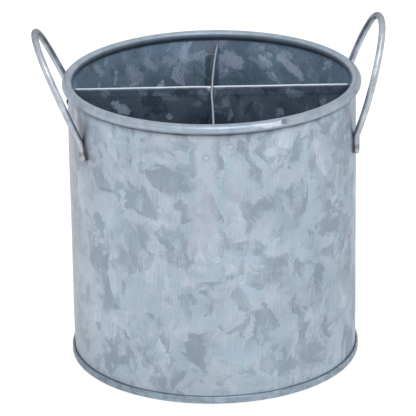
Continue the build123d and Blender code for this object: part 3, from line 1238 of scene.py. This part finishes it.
def spot_weld_tree():
    """Sets a copy of the weld mark at each point, facing straight out from the axis."""
    tree, given = new_tree("spot_welds", {"Mark": "Object", "Material": "Material"})
    mark = tree.node("GeometryNodeObjectInfo", {}, {"Object": given.out("Mark")}).out("Geometry")
    x, y, _ = tree.split(tree.node("GeometryNodeInputPosition"))
    facing_sockets = {"Vector": tree.joined(x, y, 0)}
    facing = tree.node("FunctionNodeAlignRotationToVector", {"axis": "Z"}, facing_sockets)
    copies_sockets = {"Points": given, "Instance": mark, "Rotation": facing}
    copies = tree.node("GeometryNodeInstanceOnPoints", {}, copies_sockets)
    return ended(tree, dressed(tree, real(tree, copies), given.out("Material")))


def linked(name, data):
    """A new object in the scene."""
    made = bpy.data.objects.new(name, data)
    bpy.context.scene.collection.objects.link(made)
    return made


def path_object(name, paths, closed=False):
    """A curve object of straight pieces through the points of each path."""
    curve = bpy.data.curves.new(name, "CURVE")
    curve.dimensions = "3D"
    for points in paths:
        spline = curve.splines.new("POLY")
        spline.points.add(len(points) - 1)
        for spline_point, place in zip(spline.points, points):
            spline_point.co = (*place, 1)
        spline.use_cyclic_u = closed
    return linked(name, curve)


def plain_mesh(source):
    """The object's mesh with its modifiers worked in. The object itself is removed."""
    evaluated = source.evaluated_get(bpy.context.evaluated_depsgraph_get())
    mesh = bpy.data.meshes.new_from_object(evaluated)
    bpy.data.objects.remove(source)
    return mesh


def grown(source, tree, values):
    """Runs a geometry tree on an object and keeps the result as a plain mesh."""
    modifier = source.modifiers.new(tree.name, "NODES")
    modifier.node_group = tree
    for item in tree.interface.items_tree:
        if item.in_out == "INPUT" and item.name in values:
            modifier[item.identifier] = values[item.name]
    return plain_mesh(source)


def piece(name, mesh, node):
    """Links a finished mesh, smooth except at its sharp edges, in place of a node of the frame."""
    mesh.shade_smooth()
    mesh.set_sharp_from_angle(angle=sharp_angle)
    made = linked(name, mesh)
    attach(made, "root")
    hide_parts(node)


def mesh_of(name, bm, material):
    """A mesh of one material, from what was built."""
    mesh = bpy.data.meshes.new(name)
    bm.to_mesh(mesh)
    bm.free()
    mesh.materials.append(material)
    return mesh


def add_patch(bm, rows):
    """Adds quads through rows of points, each row as long as the next."""
    corners = [[bm.verts.new(point) for point in row] for row in rows]
    for low, high in zip(corners, corners[1:]):
        for one, two, three, four in zip(low, low[1:], high[1:], high):
            bm.faces.new((one, two, three, four))
    return corners


def join_up(bm):
    """Joins corners in the same place and turns all faces outwards."""
    bmesh.ops.remove_doubles(bm, verts=bm.verts, dist=same_place)
    bmesh.ops.recalc_face_normals(bm, faces=bm.faces)


# Wall and base


def uneven(place):
    """A place on the wall moved outwards to where hand rolling left it."""
    high_fade = fading(rim_underside - place.z, ripple_fade)
    low_fade = fading(place.z - band_height, ripple_fade)
    lump = (noise.noise(place / ripple_length) + 1) / 2
    out = Vector((place.x, place.y, 0)).normalized()
    return place + out * ripple_depth * lump * high_fade * low_fade


def wobbled(place):
    """A place on the base's band raised a little, so that its top edge isn't quite level."""
    lift = (noise.noise(place.normalized() * band_radius / band_wobble_length) + 1) / 2
    return place + upwards * band_wobble * lift * fading(place.z - band_corner_radius, band_turn_height)


def moved(mesh, move):
    """The mesh with each of its points moved."""
    for vertex in mesh.vertices:
        vertex.co = move(vertex.co)
    return mesh


def arc(middle, radius, start, turn, steps):
    """Points along an arc in a section, from a start angle and over a turn, both in degrees."""
    angles = [radians(start + turn * step / steps) for step in range(steps + 1)]
    return [Vector((middle[0] + radius * cos(angle), middle[1] + radius * sin(angle))) for angle in angles]


def line(start, end, steps):
    """Evenly spaced points along a straight line."""
    return [Vector(start).lerp(Vector(end), share) for share in shares(steps)]


def sheet_section(middle_line):
    """A sheet's outline in section: along one face of its middle line and back along the other."""
    middle = middle_line[:1]
    for point in middle_line[1:]:
        if (point - middle[-1]).length > same_place:
            middle.append(point)
    face, other_face = [], []
    for index, point in enumerate(middle):
        before = middle[max(index - 1, 0)]
        after = middle[min(index + 1, len(middle) - 1)]
        along = (after - before).normalized()
        across = Vector((-along.y, along.x)) * half_sheet
        face.append(point + across)
        other_face.append(point - across)
    return face + other_face[::-1]


def wall_section():
    """Base flange, fold, wall, and the curl round the rim wire."""
    bend_middle_radius = wall_middle_radius - rim_bend_radius
    across = rim_middle_radius - bend_middle_radius
    down = sqrt((curl_radius + rim_bend_radius) ** 2 - across**2)
    meeting_angle = degrees(atan2(-down, -across))
    bend_start = rim_middle_height - down
    curl_turn = curl_end_angle - meeting_angle - 360
    return sheet_section([
        *line((flange_radius, band_turn_height), (flange_radius, fold_middle_height), flange_steps),
        *arc((wall_middle_radius + fold_radius, fold_middle_height), fold_radius, 0, -180, fold_steps),
        *line((wall_middle_radius, fold_middle_height), (wall_middle_radius, bend_start), wall_steps),
        *arc((bend_middle_radius, bend_start), rim_bend_radius, 0, meeting_angle + 180, rim_bend_steps),
        *arc((rim_middle_radius, rim_middle_height), curl_radius, meeting_angle, curl_turn, curl_steps),
    ])


def base_section():
    """Disc, corner, band, the turn at the band's top, and the hem behind the flange."""
    corner_radius = band_radius - band_corner_radius
    corner_height = half_sheet + band_corner_radius
    hem_end = fold_middle_height + layer_clearance
    return sheet_section([
        *line((0, half_sheet), (corner_radius, half_sheet), disc_steps),
        *arc((corner_radius, corner_height), band_corner_radius, -90, 90, corner_steps),
        *line((band_radius, corner_height), (band_radius, band_turn_height), band_steps),
        *arc((flange_radius, band_turn_height), layer_pitch, 0, 180, band_turn_steps),
        *line((hem_layer_radius, band_turn_height), (hem_layer_radius, hem_end), hem_layer_steps),
    ])


def turned(name, section, tree, values, closed=False):
    """A solid of revolution, from its section in radius and height. A section off the axis is closed."""
    points = [(point.x - wall_radius, -point.y, 0) for point in section]
    shared = {"Turning radius": wall_radius, "Join distance": same_place}
    return grown(path_object(name, [points], closed), tree, {**shared, **values})


def make_wall_and_base(tree):
    """The two turned sheets, each with its hand-made unevenness."""
    wall_values = {
        "Steps": steps_round,
        "Outer face": outside_zinc,
        "Inner face": inside_zinc,
        "Inner radius": wall_middle_radius,
        "Upper face": rolled_rim,
        "Upper height": rim_underside - rim_bend_radius / 2,
    }
    wall = moved(turned("wall", wall_section(), tree, wall_values, closed=True), uneven)
    piece("wall_sheet", wall, "body_wall")
    base_values = {
        "Steps": steps_round,
        "Outer face": seam_band,
        "Inner face": base_zinc,
        "Inner radius": wall_inner_radius,
        "Upper face": seam_band,
        "Upper height": band_height,
    }
    base = moved(turned("base", base_section(), tree, base_values), wobbled)
    piece("base_sheet", base, "base_pan")


# Lap and spot welds


def make_lap():
    """The outer end of the wall's sheet, lying over its inner end: full at its free edge, and run in."""
    heights = spread([band_height + seam_end_gap, rim_underside - seam_end_gap], grid_step)
    section = [(share, wall_radius + sheet * fading(share, lap_rise_share)) for share in shares(lap_steps)]
    section += [(share, wall_radius - seam_sink) for share in shares(lap_steps)[::-1]]
    outline = [flat(seam_angle + lap_half_angle * (1 - 2 * share)) * radius for share, radius in section]
    outline.append(outline[0])
    bm = bmesh.new()
    rows = [[uneven(point + upwards * height) for point in outline] for height in heights]
    corners = add_patch(bm, rows)
    bm.faces.new(corners[0][:-1])
    bm.faces.new(corners[-1][:-1])
    join_up(bm)
    piece("seam_lap", mesh_of("lap", bm, outside_zinc), "body_wall")


def make_spot_welds(tree):
    """The welds' round marks: a shallow ring pushed up about a dip."""
    section = [
        Vector((spot_radius * share, spot_rise * sin(pi * share**2))) for share in shares(spot_steps)
    ]
    section += [Vector((spot_radius, -spot_sink)), Vector((0, -spot_sink))]
    faces = {face: outside_zinc for face in ("Outer face", "Inner face", "Upper face")}
    mark_values = {"Steps": spot_steps_round, **faces}
    mark = linked("mark", turned("weld_mark", section, tree, mark_values))
    bm = bmesh.new()
    for place in [*tab_welds(), *seam_welds()]:
        bm.verts.new(uneven(place))
    points = linked("weld_points", mesh_of("weld_points", bm, outside_zinc))
    marks = grown(points, spot_weld_tree(), {"Mark": mark, "Material": outside_zinc})
    bpy.data.objects.remove(mark)
    piece("spot_welds", marks, "body_wall")


# Dividers


class Divider(NamedTuple):
    """A divider's line in plan, by the angles of its two ends, and its slot for the other divider."""

    name: str
    start_angle: float
    end_angle: float
    slot_low: float
    slot_high: float
    slot_left: float
    slot_right: float
    flare: float
    bow: float
    material: bpy.types.Material


cross = Divider(
    name="cross",
    start_angle=pi,
    end_angle=0,
    slot_low=slot_split_height,
    slot_high=fold_height,
    slot_left=hem_pitch / 2 - cross_half_slot,
    slot_right=hem_pitch / 2 + cross_half_slot,
    flare=lip_flare,
    bow=0.0,
    material=cross_zinc,
)
long = Divider(
    name="long",
    start_angle=front_angle,
    end_angle=back_end_angle,
    slot_low=base_top,
    slot_high=slot_split_height + slot_clearance,
    slot_left=-long_half_slot,
    slot_right=long_half_slot,
    flare=0.0,
    bow=long_divider_bow,
    material=long_zinc,
)


def divider_point(divider, out, height, sideways=0.0):
    """A point of a divider's sheet: out from the axis, negative towards its start, and to its right."""
    ahead = flat(divider.end_angle if out > 0 else divider.start_angle + pi)
    right = ahead.cross(upwards)
    end_fade = fading(tab_bend_start - abs(out), dent_fade) * fading(abs(out), dent_fade)
    dent = noise.noise(Vector((out, height, divider.end_angle * wall_radius)) / dent_length) * dent_depth
    push = (dent + divider.bow * height / divider_top) * end_fade
    return ahead * out + right * (sideways + push) + upwards * height


def divider_columns(divider):
    """Where the upright lines of a divider's mesh stand. They are closest at the lip beside its slot."""
    lip = spread([divider.slot_left - lip_length, divider.slot_left], lip_length / lip_steps)
    ends = [-tab_bend_start, -hem_reach, hem_reach, tab_bend_start]
    return spread([*ends, *lip, divider.slot_right], grid_step)


def sheet_patches(divider):
    """The flat of a divider, in patches round its slot and below its tabs."""
    columns = divider_columns(divider)
    rows = spread([base_top, divider.slot_low, divider.slot_high, tab_bottom, fold_height], grid_step)
    left = [out for out in columns if out <= divider.slot_left]
    middle = [divider.slot_left, divider.slot_right]
    right = [out for out in columns if out >= divider.slot_right]
    below_slot = [height for height in rows if height <= divider.slot_low]
    above_slot = [height for height in rows if height >= divider.slot_high]
    below_tabs = [height for height in rows if height <= tab_bottom]
    spans = [(left, rows), (middle, below_slot), (middle, above_slot), (right, rows)]
    spans += [([side * tab_bend_start, side * divider_end_radius], below_tabs) for side in (-1, 1)]
    patches = []
    for outs, heights in spans:
        patches.append([[divider_point(divider, out, height) for out in outs] for height in heights])
    return patches


def lip_opening(divider, out):
    """How far the hem is pushed open beside the slot."""
    if out > divider.slot_left:
        return 0.0
    return divider.flare * (1 - fading(divider.slot_left - out, lip_length))


def hem_patches(divider):
    """The hem's fold and second layer, in two lengths where the slot cuts it."""
    columns = [out for out in divider_columns(divider) if abs(out) <= hem_reach]
    spans = [columns]
    if divider.slot_high > hem_bottom:
        left = [out for out in columns if out <= divider.slot_left]
        right = [out for out in columns if out >= divider.slot_right]
        spans = [left, right]
    turns = [pi * share for share in shares(hem_fold_steps)]
    section = [(hem_pitch / 2 * (1 - cos(turn)), fold_height + hem_pitch / 2 * sin(turn)) for turn in turns]
    side_shares = shares(hem_side_steps)[1:]
    section += [(hem_pitch, fold_height + (hem_bottom - fold_height) * share) for share in side_shares]
    patches = []
    for span in spans:
        rows = []
        for sideways, height in section:
            share = sideways / hem_pitch
            sides = [sideways + share * lip_opening(divider, out) for out in span]
            rows.append([divider_point(divider, out, height, side) for out, side in zip(span, sides)])
        patches.append(rows)
    return patches


def tab_patch(angle):
    """A tab: bent to the left of its way out, along the wall, with its top sloping down to its free end."""
    bend_middle = flat(angle) * tab_bend_start + flat(angle + pi / 2) * tab_bend_radius
    turns = [(pi / 2 + tab_bend_angle) * share for share in shares(tab_steps)]
    plan = [(bend_middle + flat(angle - pi / 2 + turn) * tab_bend_radius, 0) for turn in turns]
    slope_start = tab_bend_radius + sheet
    for share in shares(tab_steps)[1:]:
        round_angle = tab_bend_angle + (tab_angle - tab_bend_angle) * share
        slope = max((round_angle * tab_radius - slope_start) / (tab_width - slope_start), 0)
        plan.append((flat(angle + round_angle) * tab_radius, slope))
    rows = []
    for height in spread([tab_bottom, fold_height], grid_step):
        drop = tab_slope_drop * (height - tab_bottom) / (fold_height - tab_bottom)
        rows.append([place + upwards * (height - drop * slope) for place, slope in plan])
    return rows


def make_divider(divider):
    """A sheet across the body: hemmed along its top, slotted at its middle, with a tab at each end."""
    patches = sheet_patches(divider) + hem_patches(divider)
    patches += [tab_patch(angle) for angle in (divider.start_angle, divider.end_angle)]
    bm = bmesh.new()
    for rows in patches:
        add_patch(bm, rows)
    join_up(bm)
    source = linked(divider.name, mesh_of(divider.name, bm, divider.material))
    thicken = source.modifiers.new("sheet", "SOLIDIFY")
    thicken.thickness = sheet
    thicken.offset = 0
    thicken.use_even_offset = True
    piece(f"{divider.name}_sheet", plain_mesh(source), f"{divider.name}_divider")


# Handles


def make_handle(side, loop, tree):
    """A handle's bent wire, seated on the wall."""
    values = {
        "Wire radius": handle_wire_radius,
        "Tip round": tip_round,
        "Sides": wire_sides,
        "Wall radius": wall_radius,
        "Material": bright_wire,
    }
    mesh = grown(path_object(side, [handle_path(loop)]), tree, values)
    piece(f"{side}_loop", mesh, f"{side}_handle")


def seated(place):
    """A place moved straight in or out to the wall's outer face."""
    return uneven(on_wall(atan2(place.y, place.x), place.z))


def beaded(name, paths, radius, material, tree):
    """Lumpy beads of metal along paths on the wall."""
    values = {
        "Bead radius": radius,
        "Points": bead_points,
        "Sides": bead_sides,
        "Lump size": bead_lump_size,
        "Lumpiness": bead_lumpiness,
        "End share": bead_end_share,
        "Material": material,
    }
    return grown(path_object(name, paths), tree, values)


def make_foot_welds(side, loop, tree):
    """The metal squeezed out along both sides of a handle's feet."""
    half_contact = sqrt(handle_wire_radius**2 - (handle_wire_radius - weld_set_down) ** 2)
    paths = []
    for top, tip in feet(loop):
        out = Vector((tip.x, tip.y, 0)).normalized()
        beside = (top - tip).normalized().cross(out) * (half_contact + foot_bead_radius / 2)
        low = tip.lerp(top, foot_bead_low_share)
        high = tip.lerp(top, foot_bead_high_share)
        for way in (beside, -beside):
            paths.append([seated(low.lerp(high, share) + way) for share in shares(bead_path_steps)])
    mesh = beaded(f"{side}_weld_paths", paths, foot_bead_radius, burnt_weld, tree)
    piece(f"{side}_foot_welds", mesh, f"{side}_handle")


def make_rim_drop(tree):
    """A small dark drop down the wall under the rim, on the left."""
    top = on_wall(drop_angle, rim_underside - drop_below_rim)
    path = [top - upwards * drop_length * share for share in shares(bead_path_steps)]
    mesh = beaded("rim_drop_path", [path], drop_radius, black_drop, tree)
    piece("rim_drop", mesh, "body_wall")


# Stage
white = (1, 1, 1, 1)
floor_grey = (0.35, 0.35, 0.35, 1)
floor_glow = 0.75
floor_radius = 3.0
floor_sides = 64
softbox_size = 1.1
softbox_power = 6
softbox_place = Vector((0.15, -1.0, 1.25))
camera_elevation = radians(21.39)
camera_yaw = radians(-0.65)
camera_roll = radians(-0.86)
camera_distance = 1651.61 * mm
camera_target = Vector((-2.85 * mm, 0, 78.68 * mm))
camera_lens = 270.65
camera_film_width = 36
camera_far_limit = 20


def make_floor():
    """A wide white floor, bright enough that the caddy's soft shadow hardly shows on it."""
    bm = bmesh.new()
    below = Matrix.Translation((0, 0, -half_sheet))
    bmesh.ops.create_circle(bm, cap_ends=True, segments=floor_sides, radius=floor_radius, matrix=below)
    material = bpy.data.materials.new("white_floor")
    material.use_nodes = True
    sockets = {
        "Base Color": floor_grey,
        "Roughness": 0.9,
        "Emission Color": white,
        "Emission Strength": floor_glow,
    }
    Tree(material.node_tree).fill(material.node_tree.nodes["Principled BSDF"], sockets)
    linked("floor", mesh_of("floor", bm, material))


def make_light():
    """A white room with one wide soft light above the camera."""
    scene = bpy.context.scene
    scene.view_settings.view_transform = "Standard"
    scene.world = bpy.data.worlds.new("white_room")
    scene.world.use_nodes = True
    scene.world.node_tree.nodes["Background"].inputs["Color"].default_value = white
    lamp = bpy.data.lights.new("softbox", "AREA")
    lamp.shape = "DISK"
    lamp.size = softbox_size
    lamp.energy = softbox_power
    made = linked("softbox", lamp)
    made.location = softbox_place
    made.rotation_euler = (-softbox_place).to_track_quat("-Z", "Y").to_euler()


def make_camera():
    """Looks at the caddy from the front and a little above."""
    back = flat(camera_yaw - pi / 2) * cos(camera_elevation) + upwards * sin(camera_elevation)
    level = upwards.cross(back).normalized()
    above = back.cross(level)
    right = level * cos(camera_roll) + above * sin(camera_roll)
    up = above * cos(camera_roll) - level * sin(camera_roll)
    data = bpy.data.cameras.new("camera")
    data.sensor_width = camera_film_width
    data.lens = camera_lens
    data.clip_end = camera_far_limit
    made = linked("camera", data)
    facing = Matrix((right, up, back)).transposed().to_4x4()
    made.matrix_world = Matrix.Translation(camera_target + back * camera_distance) @ facing
    bpy.context.scene.camera = made


turner = turning_tree()
make_wall_and_base(turner)
make_lap()
make_spot_welds(turner)
make_divider(cross)
make_divider(long)
wire_drawer = wire_tree()
bead_layer = weld_bead_tree()
for side, loop in [("left", left_loop), ("right", right_loop)]:
    make_handle(side, loop, wire_drawer)
    make_foot_welds(side, loop, bead_layer)
make_rim_drop(bead_layer)
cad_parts["rim_wire"].data.materials[0] = core_wire
make_floor()
make_light()
make_camera()
